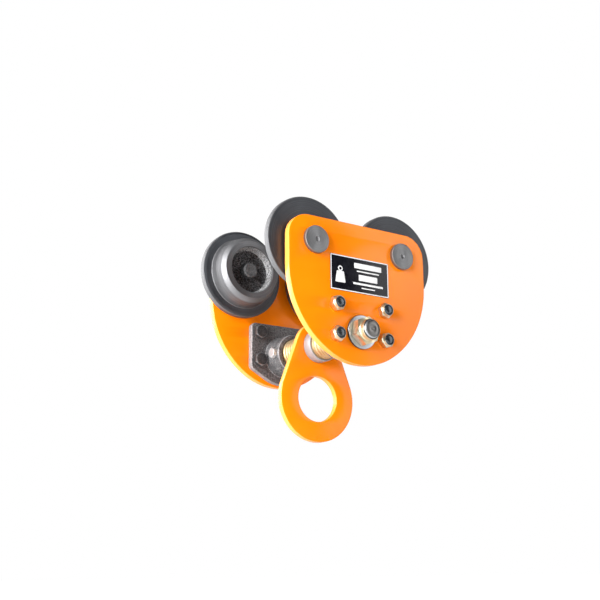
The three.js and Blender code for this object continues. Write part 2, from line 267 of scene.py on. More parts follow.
class Surface:
    """A Principled material with short calls for its texture nodes. Coordinates are the piece's own."""

    def __init__(self, name, **constants):
        self.material = bpy.data.materials.new(name)
        self.material.use_nodes = True
        self.nodes = self.material.node_tree.nodes
        self.links = self.material.node_tree.links
        self.shader = self.nodes["Principled BSDF"]
        for socket, value in constants.items():
            self.shader.inputs[socket.replace("_", " ")].default_value = value
        self.place = self.nodes.new("ShaderNodeTexCoord").outputs["Object"]

    def node(self, kind, **settings):
        made = self.nodes.new(kind)
        for key, value in settings.items():
            setattr(made, key, value)
        return made

    def set(self, socket, output):
        self.links.new(output, self.shader.inputs[socket])

    def noise(self, scale, detail=3.0, roughness=0.55):
        texture = self.node("ShaderNodeTexNoise")
        texture.inputs["Scale"].default_value = scale
        texture.inputs["Detail"].default_value = detail
        texture.inputs["Roughness"].default_value = roughness
        self.links.new(self.place, texture.inputs["Vector"])
        return texture.outputs["Fac"]

    def rings(self, scale):
        """Turning marks: noise over the distance from the piece's Y axis, and along it on round walls."""
        along = 0.85
        split = self.node("ShaderNodeSeparateXYZ")
        self.links.new(self.place, split.inputs[0])
        flat = self.node("ShaderNodeCombineXYZ")
        self.links.new(split.outputs["X"], flat.inputs["X"])
        self.links.new(split.outputs["Z"], flat.inputs["Z"])
        length = self.node("ShaderNodeVectorMath", operation="LENGTH")
        self.links.new(flat.outputs[0], length.inputs[0])
        reach = self.node("ShaderNodeMath", operation="MULTIPLY_ADD")
        self.links.new(split.outputs["Y"], reach.inputs[0])
        reach.inputs[1].default_value = along
        self.links.new(length.outputs["Value"], reach.inputs[2])
        texture = self.node("ShaderNodeTexNoise", noise_dimensions="1D")
        texture.inputs["Scale"].default_value = scale
        texture.inputs["Detail"].default_value = 4.0
        self.links.new(reach.outputs[0], texture.inputs["W"])
        return texture.outputs["Fac"]

    def ramp(self, value, *stops):
        """A colour ramp with stops (position, (r, g, b))."""
        ramp = self.node("ShaderNodeValToRGB")
        elements = ramp.color_ramp.elements
        while len(elements) < len(stops):
            elements.new(0.5)
        for element, (position, colour) in zip(elements, stops):
            element.position = position
            element.color = (*colour, 1.0)
        self.links.new(value, ramp.inputs["Fac"])
        return ramp.outputs["Color"]

    def range(self, value, low, high, source=(0.3, 0.7)):
        """A value from the source range, mapped to low .. high."""
        mapped = self.node("ShaderNodeMapRange")
        mapped.inputs["From Min"].default_value, mapped.inputs["From Max"].default_value = source
        mapped.inputs["To Min"].default_value, mapped.inputs["To Max"].default_value = low, high
        self.links.new(value, mapped.inputs["Value"])
        return mapped.outputs["Result"]

    def mix(self, value, colour_a, colour_b):
        mixed = self.node("ShaderNodeMix", data_type="RGBA")
        self.links.new(value, mixed.inputs[0])
        for index, colour in ((6, colour_a), (7, colour_b)):  # this node's two colour inputs
            if isinstance(colour, tuple):
                mixed.inputs[index].default_value = (*colour, 1.0)
            else:
                self.links.new(colour, mixed.inputs[index])
        return mixed.outputs[2]

    def bump(self, *layers):
        """Bump from layers of (height output, depth in metres)."""
        normal = None
        for height, depth in layers:
            bump = self.node("ShaderNodeBump")
            bump.inputs["Distance"].default_value = depth
            bump.inputs["Strength"].default_value = 1.0
            self.links.new(height, bump.inputs["Height"])
            if normal:
                self.links.new(normal, bump.inputs["Normal"])
            normal = bump.outputs["Normal"]
        self.set("Normal", normal)


def orange_paint(name, dark, light):
    surface = Surface(name, Specular_IOR_Level=0.22, Coat_Weight=0.06, Coat_Roughness=0.15)
    drift = surface.noise(9, detail=2)
    surface.set("Base Color", surface.ramp(drift, (0.3, dark), (0.7, light)))
    surface.set("Roughness", surface.range(surface.noise(70, detail=5), 0.15, 0.23))
    surface.bump((surface.noise(420, detail=2), 0.00006), (surface.noise(1500, detail=1), 0.00002))
    return surface.material


def turned_steel(name, dark, light, rough, marks=900, depth=0.00004, metallic=1.0):
    """Turned metal: fine rings about the Y axis, which also stretch its highlights."""
    surface = Surface(name, Metallic=metallic, Anisotropic=0.6)
    tangent = surface.node("ShaderNodeTangent", direction_type="RADIAL", axis="Y")
    surface.set("Tangent", tangent.outputs["Tangent"])
    rings = surface.rings(marks)
    cloud = surface.noise(45, detail=4)
    metal = surface.mix(cloud, dark, light)
    surface.set("Base Color", surface.mix(surface.range(rings, 0.0, 1.0), dark, metal))
    surface.set("Roughness", surface.range(cloud, *rough))
    surface.bump((rings, depth), (surface.noise(600, detail=2), 0.000015))
    return surface.material


def cast_iron(name, dark, light, depth, metallic, grains=(0.3, 0.7)):
    """As-cast iron: coarse grain in colour, roughness and bump. grains is the noise range that counts."""
    surface = Surface(name, Metallic=metallic)
    grain = surface.noise(420, detail=5, roughness=0.7)
    cloud = surface.noise(60, detail=3)
    metal = surface.mix(cloud, dark, light)
    surface.set("Base Color", surface.mix(surface.range(grain, 0, 1, grains), dark, metal))
    surface.set("Roughness", surface.range(grain, 0.72, 0.46))
    surface.bump((surface.noise(160, detail=3), depth), (grain, depth * 0.6))
    return surface.material


def zinc(name, *colours, rough=(0.2, 0.36), metallic=1.0):
    """Zinc plate: a thin passivation film that drifts between its colours."""
    surface = Surface(name, Metallic=metallic)
    film = surface.noise(45, detail=2, roughness=0.5)
    stops = [(0.3 + 0.4 * i / (len(colours) - 1), colour) for i, colour in enumerate(colours)]
    surface.set("Base Color", surface.ramp(film, *stops))
    surface.set("Roughness", surface.range(surface.noise(260, detail=3), *rough))
    surface.bump((surface.noise(900, detail=2), 0.00002))
    return surface.material


def plain(name, colour_a, colour_b, rough, metallic, scale, specular=0.5):
    """One even surface with a faint grain of the given noise scale."""
    surface = Surface(name, Metallic=metallic, Specular_IOR_Level=specular)
    grain = surface.noise(scale, detail=4)
    surface.set("Base Color", surface.ramp(grain, (0.35, colour_a), (0.65, colour_b)))
    surface.set("Roughness", surface.range(grain, *rough))
    surface.bump((grain, 0.00003))
    return surface.material


MATERIAL = {
    "paint": orange_paint("orange_powder_coat", (0.95, 0.208, 0.001), (1.0, 0.248, 0.002)),
    # Painted highlight: a paler, creamier orange on the rims of the plates and the eye, for the light on
    # them.
    "paint_rim_highlight": orange_paint("orange_powder_coat_painted_rim_highlight", (1.0, 0.32, 0.05), (1.0, 0.36, 0.08)),
    "wheel": turned_steel(
        "wheel_machined", (0.14, 0.14, 0.147), (0.26, 0.26, 0.265), rough=(0.47, 0.58), metallic=0.86
    ),
    "wheel_face": turned_steel(
        "wheel_flange_face", (0.042, 0.045, 0.052), (0.10, 0.104, 0.113), rough=(0.38, 0.5), metallic=0.6
    ),
    "wheel_rim": turned_steel(
        "wheel_flange_rim", (0.10, 0.10, 0.105), (0.18, 0.18, 0.185), rough=(0.5, 0.6), metallic=0.6
    ),
    # Painted shade: a very dark floor for the shade inside the recess, with the real cast grain over it.
    "recess": cast_iron(
        "wheel_recess_floor_painted_shade", (0.003, 0.003, 0.004), (0.34, 0.34, 0.35),
        depth=0.001, metallic=0.4, grains=(0.42, 0.7),
    ),
    "boss": cast_iron("wheel_boss", (0.03, 0.03, 0.032), (0.30, 0.30, 0.305), depth=0.0005, metallic=0.3),
    # Painted highlight: a wall whose light grains run to near white, for the light it catches inside the
    # recess.
    "recess_wall_painted_highlight": cast_iron(
        "wheel_recess_wall", (0.07, 0.07, 0.075), (0.98, 0.98, 0.98),
        depth=0.0009, metallic=0.3, grains=(0.36, 0.62),
    ),
    "housing": cast_iron(
        "housing_as_cast", (0.02, 0.019, 0.02), (0.36, 0.35, 0.355),
        depth=0.0006, metallic=0.15, grains=(0.36, 0.68),
    ),
    # Painted highlight: paler iron for the light on the housing's edges.
    "housing_edge_highlight": cast_iron(
        "housing_painted_highlight_edge", (0.14, 0.137, 0.14), (0.50, 0.49, 0.495), depth=0.0004, metallic=0.3
    ),
    "axle": turned_steel(
        "axle_head_turned", (0.20, 0.20, 0.205), (0.36, 0.36, 0.37),
        rough=(0.46, 0.58), marks=1500, metallic=0.9,
    ),
    "stub": turned_steel(
        "spindle_end_turned", (0.17, 0.165, 0.16), (0.33, 0.315, 0.30), rough=(0.3, 0.42), marks=1300
    ),
    "bearing": turned_steel(
        "bearing_ground", (0.45, 0.45, 0.46), (0.6, 0.6, 0.62), rough=(0.12, 0.2), marks=2500, depth=0.00001
    ),
    "yellow_zinc": zinc(
        "zinc_yellow", (0.70, 0.55, 0.31), (0.76, 0.66, 0.45), (0.70, 0.67, 0.52), (0.74, 0.60, 0.46),
        rough=(0.27, 0.4),
    ),
    "gold_zinc": zinc(
        "zinc_gold", (0.42, 0.26, 0.11), (0.52, 0.36, 0.18), (0.55, 0.45, 0.29),
        rough=(0.46, 0.56), metallic=0.8,
    ),
    "white_zinc": zinc("zinc_bright", (0.50, 0.51, 0.54), (0.62, 0.63, 0.66), (0.58, 0.60, 0.70)),
    "washer": turned_steel(
        "washer_bright", (0.44, 0.46, 0.49), (0.60, 0.62, 0.66), rough=(0.26, 0.34), marks=1400, depth=0.00002
    ),
    "collar": zinc(
        "collar_bright", (0.26, 0.26, 0.28), (0.34, 0.34, 0.355), rough=(0.4, 0.5), metallic=0.35
    ),
    "screw": zinc("screw_bright", (0.42, 0.42, 0.42), (0.52, 0.52, 0.52), rough=(0.3, 0.42), metallic=0.5),
    "black": plain(
        "black_oxide", (0.02, 0.02, 0.021), (0.065, 0.064, 0.067), rough=(0.3, 0.4), metallic=0.4, scale=500
    ),
    # Painted highlight: paler black oxide for the light on the bolt heads' chamfers.
    "black_edge_highlight": plain(
        "black_oxide_painted_highlight", (0.14, 0.14, 0.145), (0.24, 0.24, 0.245),
        rough=(0.3, 0.4), metallic=0.6, scale=500,
    ),
    "bolt_end": plain(
        "bolt_end_steel", (0.045, 0.055, 0.065), (0.12, 0.135, 0.15),
        rough=(0.2, 0.3), metallic=0.9, scale=700,
    ),
    "nylon": plain(
        "nylon_ring", (0.02, 0.035, 0.06), (0.035, 0.055, 0.09), rough=(0.4, 0.5), metallic=0.0, scale=900
    ),
    "label_black": plain(
        "label_black", (0.004, 0.004, 0.007), (0.008, 0.008, 0.012),
        rough=(0.2, 0.26), metallic=0.0, scale=120, specular=0.2,
    ),
    "label_white": plain(
        "label_white", (0.80, 0.80, 0.80), (0.88, 0.88, 0.88), rough=(0.28, 0.36), metallic=0.0, scale=400
    ),
}

# --- Placing pieces ----------------------------------------------------------------------------------------


def piece(name, mesh, materials, body, replaced=(), matrix=None):
    """A finished piece: it rides on a CAD body and stands for CAD nodes."""
    made = bpy.data.objects.new(name, mesh)
    bpy.context.scene.collection.objects.link(made)
    if not mesh.materials:
        for material in materials:
            mesh.materials.append(MATERIAL[material])
    if matrix:
        made.matrix_world = matrix
    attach(made, body)
    if replaced:
        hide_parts(*replaced)


def at(x, y, z):
    return Matrix.Translation((x, y, z))


def sides():
    """Each side frame's name, its matrix from the near one, and its names for that one's left and right."""
    yield "near", Matrix.Identity(4), ("left", "right")
    yield "far", HALF_TURN, ("right", "left")


# --- Side plates -------------------------------------------------------------------------------------------


def plate_outline():
    """Flat top, round corners, and flanks that run into the round bottom through wider arcs."""
    half = PLATE_HIGH.x
    top, bottom = PLATE_HIGH.z, PLATE_LOW.z
    corner, low, flank = 30 * MM, 96 * MM, 121 * MM  # the radii
    flank_x = flank - half
    low_z = bottom + low
    flank_z = low_z + math.sqrt((flank - low) ** 2 - flank_x**2)
    meet = math.degrees(math.atan2(low_z - flank_z, flank_x))
    return (
        arc(-half + corner, top - corner, corner, 90, 180, 16)
        + arc(flank_x, flank_z, flank, 180, 180 - meet, 16)
        + arc(0, low_z, low, 180 - meet, 360 + meet, 72)[1:]
        + arc(-flank_x, flank_z, flank, meet, 0, 16)[1:]
        + arc(half - corner, top - corner, corner, 0, 90, 16)
    )


def bolt_places():
    for upper, z in zip(("upper", "lower"), BOLT_Z):
        for column, x in enumerate((-BOLT_X, BOLT_X)):
            yield upper, column, x, SPINDLE_Z + z


def make_plates():
    axle_hole, spindle_hole, bevel = 13 * MM, THREAD_RADIUS + 0.6 * MM, 0.9 * MM
    holes = [circle(x, z, BOLT_HOLE_RADIUS, 24) for _, _, x, z in bolt_places()]
    holes += [circle(x, AXLE.z, axle_hole, 32) for x in (-AXLE.x, AXLE.x)]
    holes += [circle(0, SPINDLE_Z, spindle_hole, 48)]
    mesh = slab("side_plate", plate_outline(), holes, PLATE_OUTER_Y, PLATE_INNER_Y, bevel)
    for side, turn, _ in sides():
        node = f"side_plate_{side}"
        # The rims get a paler orange, a painted highlight.
        piece(f"painted_{node}", mesh, ["paint", "paint_rim_highlight"], f"{side}_side", [node], turn)


# --- Wheels, axles and bearings ----------------------------------------------------------------------------

WHEEL_LOW, WHEEL_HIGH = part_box("wheel_near_right")
PLATE_GAP = WHEEL_LOW.y - PLATE_INNER_Y
FLANGE_RADIUS = (WHEEL_HIGH.x - WHEEL_LOW.x) / 2
FLANGE_WIDTH = 10 * MM
WHEEL_FACE = WHEEL_HIGH.y - PLATE_INNER_Y
TREAD_ROOT, TREAD_TIP, TREAD_TAPER, RIM_RADIUS = 49.5 * MM, 46.5 * MM, 20 * MM, 41.5 * MM
CUP_RADIUS, CUP_DEPTH = 33 * MM, 15.5 * MM
NUB_RADIUS, NUB_HEIGHT = 10.2 * MM, 11.5 * MM
WHEEL_LOOKS = ["wheel", "recess", "wheel_face", "wheel_rim", "recess_wall_painted_highlight", "boss"]
JOURNAL_RADIUS, AXLE_HEAD_RADIUS, SPACER_RADIUS = 12.2 * MM, 17.9 * MM, 16 * MM
# Radii of the bearing. The balls run between the last two.
RACE_BORE, INNER_RACE, OUTER_RACE = 12.5 * MM, 15.5 * MM, 23.5 * MM
BALL_COUNT, BALL_RADIUS = 7, 3.5 * MM
BEARING_LOW, BEARING_HIGH = (v.y - PLATE_INNER_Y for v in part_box("bearing_outer_near_right"))
BEARING_RADIUS = box_size("bearing_outer_near_right").x / 2
GROOVE_LOW, GROOVE_HIGH = (v.y - PLATE_INNER_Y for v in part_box("bearing_circlip_near_right"))


def wheel_mesh():
    """Turned flange and tread, with an as-cast recess round the riveted end of the axle."""
    back = PLATE_GAP
    flange_end = back + FLANGE_WIDTH
    floor = WHEEL_FACE - CUP_DEPTH
    pocket_end = BEARING_HIGH + 0.3 * MM
    relief, relief_end = 17 * MM, BEARING_HIGH + 1.1 * MM  # clears the inner race
    bore = BEARING_RADIUS + 0.2 * MM
    groove = bore + 1.5 * MM
    groove_low, groove_high = GROOVE_LOW - 0.15 * MM, GROOVE_HIGH + 0.15 * MM
    profile = [
        ((0, relief_end), 0),
        ((relief, relief_end), 0),
        ((relief, pocket_end), 0),
        ((bore, pocket_end), 0.3 * MM),
        ((bore, groove_high), 0),
        ((groove, groove_high), 0),
        ((groove, groove_low), 0),
        ((bore, groove_low), 0),
        ((bore, back), 0.8 * MM),
        ((FLANGE_RADIUS - 0.2 * MM, back), 1.4 * MM),
        ((FLANGE_RADIUS, flange_end - 1.5 * MM), 1.6 * MM),
        ((FLANGE_RADIUS - 4 * MM, flange_end), 1.5 * MM),
        ((TREAD_ROOT, flange_end), 1.2 * MM),
        ((TREAD_TIP, flange_end + TREAD_TAPER), 3.5 * MM),
        ((RIM_RADIUS, WHEEL_FACE), 1.2 * MM),
        ((CUP_RADIUS, WHEEL_FACE), 0.6 * MM),
        ((CUP_RADIUS - 1.6 * MM, floor + 4 * MM), 3 * MM),
        ((CUP_RADIUS - 6 * MM, floor), 4 * MM),
        ((NUB_RADIUS + 1.2 * MM, floor), 2.2 * MM),
        ((NUB_RADIUS, floor + NUB_HEIGHT), 1.6 * MM),
        ((0, floor + NUB_HEIGHT - 0.8 * MM), 0),
    ]
    points = rounded_profile(profile, steps=5)
    spacing = 1.2 * MM
    dense = [points[0]]
    for a, b in zip(points, points[1:]):  # extra rows in the recess, for its as-cast surface
        recess = a.x < CUP_RADIUS and b.x < CUP_RADIUS and a.y > floor - MM and b.y > floor - MM
        parts = max(1, round((b - a).length / spacing)) if recess else 1
        dense += [a.lerp(b, k / parts) for k in range(1, parts + 1)]
    bands = []
    for a, b in zip(dense, dense[1:]):
        middle = (a + b) / 2
        if middle.x < NUB_RADIUS + 0.3 * MM and middle.y > floor + 2 * MM:
            look = "boss"
        elif middle.x < CUP_RADIUS - 0.5 * MM and middle.y > floor - MM:
            # Painted light in the recess: the floor is darker for its shade, and the wall paler for the light
            # on it.
            look = "recess_wall_painted_highlight" if middle.x > CUP_RADIUS - 3.5 * MM else "recess"
        elif middle.y < flange_end + 0.1 * MM:
            look = "wheel_face" if middle.x < FLANGE_RADIUS - 1.5 * MM else "wheel_rim"
        else:
            look = "wheel"
        bands.append(WHEEL_LOOKS.index(look))
    mesh = swept("wheel", dense, 128, slots=bands, sharp=40)
    skin_depth, skin_scale = 0.35 * MM, 240
    for vertex in mesh.vertices:  # cast skin in the recess
        radius = math.hypot(vertex.co.x, vertex.co.z)
        if radius < CUP_RADIUS - 1.5 * MM and vertex.co.y > floor - MM:
            vertex.co.y += skin_depth * noise.fractal(vertex.co * skin_scale, 1.0, 2.0, 3)
    return mesh


def axle_mesh():
    """A round head with a centre dimple on the plate's outside, and a journal that ends inside the wheel."""
    low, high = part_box("axle_near_right")
    head, end = low.y - PLATE_INNER_Y, high.y - PLATE_INNER_Y
    outside = -(PLATE_INNER_Y - PLATE_OUTER_Y) - 0.15 * MM
    profile = [
        ((0, head + 3.2 * MM), 0),
        ((1.8 * MM, head + 2.4 * MM), 0),
        ((2.5 * MM, head + 0.7 * MM), 0),
        ((3.3 * MM, head), 0.2 * MM),
        ((AXLE_HEAD_RADIUS, head), 0.7 * MM),
        ((AXLE_HEAD_RADIUS, outside), 0.4 * MM),
        ((JOURNAL_RADIUS, outside), 0),
        ((JOURNAL_RADIUS, end), 0.8 * MM),
        ((0, end), 0),
    ]
    return swept("axle", rounded_profile(profile, steps=3), sharp=40)


def ring_mesh(name, inner, outer, low, high, edge, segments=72, grooves=()):
    """A ring with rounded edges. grooves are (side, depth, half width) round a race's inner or outer wall."""
    middle = (low + high) / 2
    corners = [(inner, low), (outer, low), (outer, high), (inner, high)]
    points = [tuple(p) for p in rounded(corners, edge, steps=3, closed=True)]
    steps = 8
    for side, depth, half in grooves:
        radius = outer if side == "out" else inner
        sign = -1 if side == "out" else 1
        dip = []
        for k in range(steps + 1):
            angle = math.pi * k / steps
            dip.append((radius + sign * depth * math.sin(angle), middle - half * math.cos(angle)))
        if side == "out":
            at_index = max(i for i, p in enumerate(points) if p[1] < middle and p[0] > outer - edge) + 1
            points = points[:at_index] + dip + points[at_index:]
        else:
            points = points + dip[::-1]
    return swept(name, points, segments, closed=True, sharp=40)


def circlip_mesh():
    """An internal retaining ring: a C with an eye at each end."""
    opening, outer, inner = 20, 27.6 * MM, 24.2 * MM  # the opening is half the gap, in degrees
    shape = arc(0, 0, outer, opening, 360 - opening, 64) + arc(0, 0, inner, 360 - opening, opening, 64)
    ring = slab("circlip", shape, [], GROOVE_LOW, GROOVE_HIGH, 0.2 * MM)
    eyes = []
    for sign in (-1, 1):
        angle = math.radians(opening + 4) * sign
        x, z = (inner - 0.6 * MM) * math.cos(angle), (inner - 0.6 * MM) * math.sin(angle)
        rim, hole = circle(x, z, 2.5 * MM, 24), circle(x, z, 1.1 * MM, 16)
        eyes.append(slab("eye", rim, [hole], GROOVE_LOW, GROOVE_HIGH, 0.15 * MM))
    return finish_mesh(joined("circlip", ring, *eyes))


def ball_set_mesh():
    """The balls in their cage, both halfway between the races."""
    pitch, middle = (INNER_RACE + OUTER_RACE) / 2, (BEARING_LOW + BEARING_HIGH) / 2
    half_wall, half_width = 1.2 * MM, 2.6 * MM
    cage = ring_mesh(
        "cage", pitch - half_wall, pitch + half_wall, middle - half_width, middle + half_width, 0.4 * MM
    )
    bm = bmesh.new()
    bm.from_mesh(cage)
    for i in range(BALL_COUNT):
        angle = 2 * math.pi * i / BALL_COUNT
        place = at(pitch * math.cos(angle), middle, pitch * math.sin(angle))
        bmesh.ops.create_uvsphere(bm, u_segments=16, v_segments=10, radius=BALL_RADIUS, matrix=place)
    bm.to_mesh(cage)
    bm.free()
    return finish_mesh(cage)


def make_wheels():
    wheel, axle, circlip, balls = wheel_mesh(), axle_mesh(), circlip_mesh(), ball_set_mesh()
    low, high = BEARING_LOW, BEARING_HIGH
    edge, depth, half_width = 0.5 * MM, 0.9 * MM, 2.4 * MM
    inner = ring_mesh(
        "inner_race", RACE_BORE, INNER_RACE, low, high, edge, grooves=[("out", depth, half_width)]
    )
    outer = ring_mesh(
        "outer_race", OUTER_RACE, BEARING_RADIUS, low, high, edge, grooves=[("in", depth, half_width)]
    )
    spacer_low, spacer_high = (v.y - PLATE_INNER_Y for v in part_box("axle_spacer_near_right"))
    spacer = ring_mesh("spacer", RACE_BORE, SPACER_RADIUS, spacer_low, spacer_high, 0.4 * MM)
    for side, turn, names in sides():
        for x, name in zip((-AXLE.x, AXLE.x), names):
            tag = f"{side}_{name}"
            place = turn @ at(x, PLATE_INNER_Y, AXLE.z)
            rolling, frame_body = f"wheel_{tag}", f"{side}_side"
            for part, mesh, looks, body, slot in (
                ("wheel", wheel, WHEEL_LOOKS, rolling, "wheel_iron"),
                ("bearing_outer", outer, ["bearing"], rolling, "bearing_steel"),
                ("bearing_circlip", circlip, ["black"], rolling, "black_steel"),
                ("bearing_balls", balls, ["bearing"], f"bearing_balls_{tag}", "bearing_steel"),
                ("bearing_inner", inner, ["bearing"], frame_body, "bearing_steel"),
                ("axle_spacer", spacer, ["white_zinc"], frame_body, "white_zinc"),
                ("axle", axle, ["axle"], frame_body, "axle_steel"),
            ):
                node = f"{part}_{tag}"
                piece(f"finished_{node}", mesh, looks, body, [node], place)


# --- Nut housings ------------------------------------------------------------------------------------------

HOUSING_LOW, HOUSING_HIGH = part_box("nut_housing_near")
HOUSING_FLANGE = 9 * MM
BOSS_RADIUS = 27 * MM
LUG_RADIUS = 9 * MM
LOCK_Y = box_centre("lock_screw_near").y
LOCK_X = 27.5 * MM  # where the lug ends and the lock screw's head begins
TO_X = Matrix.Rotation(-math.pi / 2, 4, "Z")  # lays a piece made along Y out along X
VOXEL, SKIN_DEPTH, SKIN_SCALE = 0.8 * MM, 0.14 * MM, 300


def housing_outline():
    """A rectangle with round corners above, and below its lower bolts a wide V with a round keel."""
    half, top = HOUSING_HIGH.x, HOUSING_HIGH.z
    lower = SPINDLE_Z - 18.8 * MM
    slope, corner, keel = 0.55, 7 * MM, 50 * MM
    apex = lower - slope * half
    corners = [(half, top), (-half, top), (-half, lower), (0, apex), (half, lower)]
    return rounded(corners, [corner, corner, corner, keel, corner], steps=10, closed=True)


def housing_mesh():
    """A casting: flange, boss, lock-screw lug and rib run together with fillets; its bores are machined."""
    start, end = HOUSING_LOW.y, HOUSING_HIGH.y
    axis = at(0, 0, SPINDLE_Z)
    lug_axis = at(0, LOCK_Y, SPINDLE_Z) @ TO_X
    flange = slab("housing", housing_outline(), [], start, start + HOUSING_FLANGE, 1.2 * MM)
    boss_rows = [
        ((0, start + 1 * MM), 0),
        ((BOSS_RADIUS + 1 * MM, start + 1 * MM), 0),
        ((BOSS_RADIUS, end), 1.2 * MM),
        ((0, end), 0),
    ]
    boss = moved(swept("boss", rounded_profile(boss_rows, steps=4)), axis)
    lug_rows = [
        (0, 0),
        (LUG_RADIUS, 0),
        (LUG_RADIUS - 0.6 * MM, LOCK_X - 1 * MM),
        (LUG_RADIUS - 1.4 * MM, LOCK_X),
        (0, LOCK_X),
    ]
    lug = moved(swept("lug", lug_rows, 48), lug_axis)
    rib_corners = [(0, 8 * MM), (25 * MM, 6 * MM), (26 * MM, 0), (19 * MM, -22 * MM), (0, -24 * MM)]
    rib_outline = rounded(rib_corners, 1.5 * MM, closed=True)
    rib = slab("rib", rib_outline, [], LOCK_Y - 7 * MM, LOCK_Y + 3 * MM, 1 * MM)
    casting = modified(
        joined("housing", flange, boss, lug, moved(rib, axis)),
        ("REMESH", {"mode": "VOXEL", "voxel_size": VOXEL}),
        ("SMOOTH", {"iterations": 2, "factor": 0.5}),
    )
    normals = [vertex.normal.copy() for vertex in casting.vertices]
    for vertex, normal in zip(casting.vertices, normals):  # cast skin
        vertex.co += normal * SKIN_DEPTH * noise.fractal(vertex.co * SKIN_SCALE, 1.0, 2.0, 3)
    bore, bore_chamfer = 20.6 * MM, 2 * MM
    bore_rows = [
        (0, start - MM),
        (bore, start - MM),
        (bore, end - 0.9 * MM),
        (bore + bore_chamfer, end + 1.1 * MM),
        (0, end + 1.1 * MM),
    ]
    tools = [moved(swept("bore", bore_rows, 64), axis)]
    for _, _, x, z in bolt_places():
        tools.append(moved(rod("bolt_hole", BOLT_HOLE_RADIUS, start - MM, start + 12 * MM), at(x, 0, z)))
    tools.append(moved(rod("screw_hole", 4.4 * MM, BOSS_RADIUS * 0.9, 40 * MM), lug_axis))
    cut = {"operation": "DIFFERENCE", "solver": "FAST", "object": joined("tools", *tools)}
    mesh = finish_mesh(modified(casting, ("BOOLEAN", cut)), sharp=38)
    mesh.materials.clear()
    for face in mesh.polygons:  # the flange's sides and edges and the boss's rim get a painted highlight
        on_flange = face.center.y < start + HOUSING_FLANGE + 0.5 * MM
        on_rim = face.center.y > end - 2 * MM and abs(face.normal.y) > 0.15
        painted_highlight = (on_flange or on_rim) and abs(face.normal.y) < 0.93
        face.material_index = 1 if painted_highlight else 0
    return mesh


def make_housings():
    mesh = housing_mesh()
    for side, turn, _ in sides():
        node = f"nut_housing_{side}"
        # The second material paints a highlight on the casting's edges.
        piece(f"cast_{node}", mesh, ["housing", "housing_edge_highlight"], f"{side}_side", [node], turn)


# --- Fasteners ---------------------------------------------------------------------------------------------

CHAMFER_SLOPE = 0.55  # along the axis for each step out from it


def hex_bolt_mesh(name, radius, across_flats, head_height, length):
    """Bearing face at y = 0, head towards +Y, domed shank to y = -length.
    Materials: 0 for the head, 1 for the shank, 2 for the chamfer on the head's rim (a painted highlight)."""
    chamfer = across_flats / 2 * 0.9
    washer_face = across_flats / 2 * 0.94
    shank = radius - 0.1 * MM
    rows = [
        (0, -length),
        (radius * 0.45, -length + 0.12 * MM),
        (radius * 0.72, -length + 0.5 * MM),
        (radius - 0.9 * MM, -length + 1.1 * MM),
        (shank, -length + 2.0 * MM),
        (shank, -0.6 * MM),
        (radius, 0),
        (washer_face, 0),
        (washer_face, 0.5 * MM),
        hexagon_row(across_flats, 0.5 * MM),
        hexagon_row(across_flats, head_height, chamfer, CHAMFER_SLOPE),
        (chamfer, head_height),
        (chamfer - 1.5 * MM, head_height),
        (0, head_height - 0.15 * MM),
    ]
    slots = [1] * 5 + [0] * 5 + [2] + [0] * 2
    return swept(name, rows, sharp=24, slots=slots)


def lock_nut_mesh(name, flats, hex_height, collar, height, bore):
    """A nylon-ring lock nut towards -Y from y = 0: chamfered hexagon, drawn-in collar, nylon ring inside.
    Materials: 0 for the steel, 1 for the ring."""
    chamfer = flats / 2 * 0.96
    washer_face = 0.4 * MM
    wall = collar - bore
    crown = [
        (collar + 0.5 * MM, -hex_height),
        (collar, -hex_height - 1.0 * MM),
        (collar, -height + 0.8 * MM),
        (collar - 0.12 * wall, -height + 0.2 * MM),
        (collar - 0.25 * wall, -height),
        (collar - 0.35 * wall, -height),
        (collar - 0.40 * wall, -height + 0.6 * MM),
        (bore + 0.1 * wall, -height + 0.9 * MM),
        (bore, -height + 1.6 * MM),
        (bore, -0.8 * MM),
        (bore + 0.8 * MM, 0),
    ]
    rows = [
        (chamfer, 0),
        (chamfer, -washer_face),
        hexagon_row(flats, -washer_face - 0.001 * MM),
        hexagon_row(flats, -hex_height, chamfer, -CHAMFER_SLOPE),
        *crown,
    ]
    slots = [0] * (len(rows) - 5) + [1, 1, 0, 0, 0]
    return swept(name, rows, closed=True, sharp=24, slots=slots)


def make_fasteners():
    low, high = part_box("housing_bolt_near_upper_left")
    head_face = HOUSING_LOW.y + HOUSING_FLANGE + 0.1 * MM
    bolt = hex_bolt_mesh("housing_bolt", BOLT_RADIUS, BOLT_FLATS, high.y - head_face, head_face - low.y)
    nut_low, nut_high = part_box("housing_nut_near_upper_left")
    nut = lock_nut_mesh(
        "housing_nut",
        flats=BOLT_FLATS,
        hex_height=7.2 * MM,
        collar=8 * MM,
        height=nut_high.y - nut_low.y,
        bore=BOLT_RADIUS + 0.1 * MM,
    )
    screw_head = 5.5 * MM
    screw = hex_bolt_mesh("lock_screw", 4 * MM, 13 * MM, screw_head, 6.6 * MM)
    screw_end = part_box("lock_screw_near")[1].x
    for side, turn, names in sides():
        body = f"{side}_side"
        for upper, column, x, z in bolt_places():
            tag = f"{side}_{upper}_{names[column]}"
            # Each nut stops at its own angle, worked out from where it is.
            spin = Matrix.Rotation(math.radians(37 * x * z / MM**2), 4, "Y")
            # The chamfer on each bolt head gets a paler black oxide, a painted highlight.
            looks, node = ["black", "bolt_end", "black_edge_highlight"], f"housing_bolt_{tag}"
            piece(f"black_{node}", bolt, looks, body, [node], turn @ at(x, head_face, z))
            looks, node = ["yellow_zinc", "nylon"], f"housing_nut_{tag}"
            place = turn @ at(x, nut_high.y, z) @ spin
            piece(f"plated_{node}", nut, looks, body, [node], place)
        node = f"lock_screw_{side}"
        place = turn @ at(screw_end - screw_head, LOCK_Y, SPINDLE_Z) @ TO_X
        piece(f"plated_{node}", screw, ["screw"] * 3, node, [node], place)


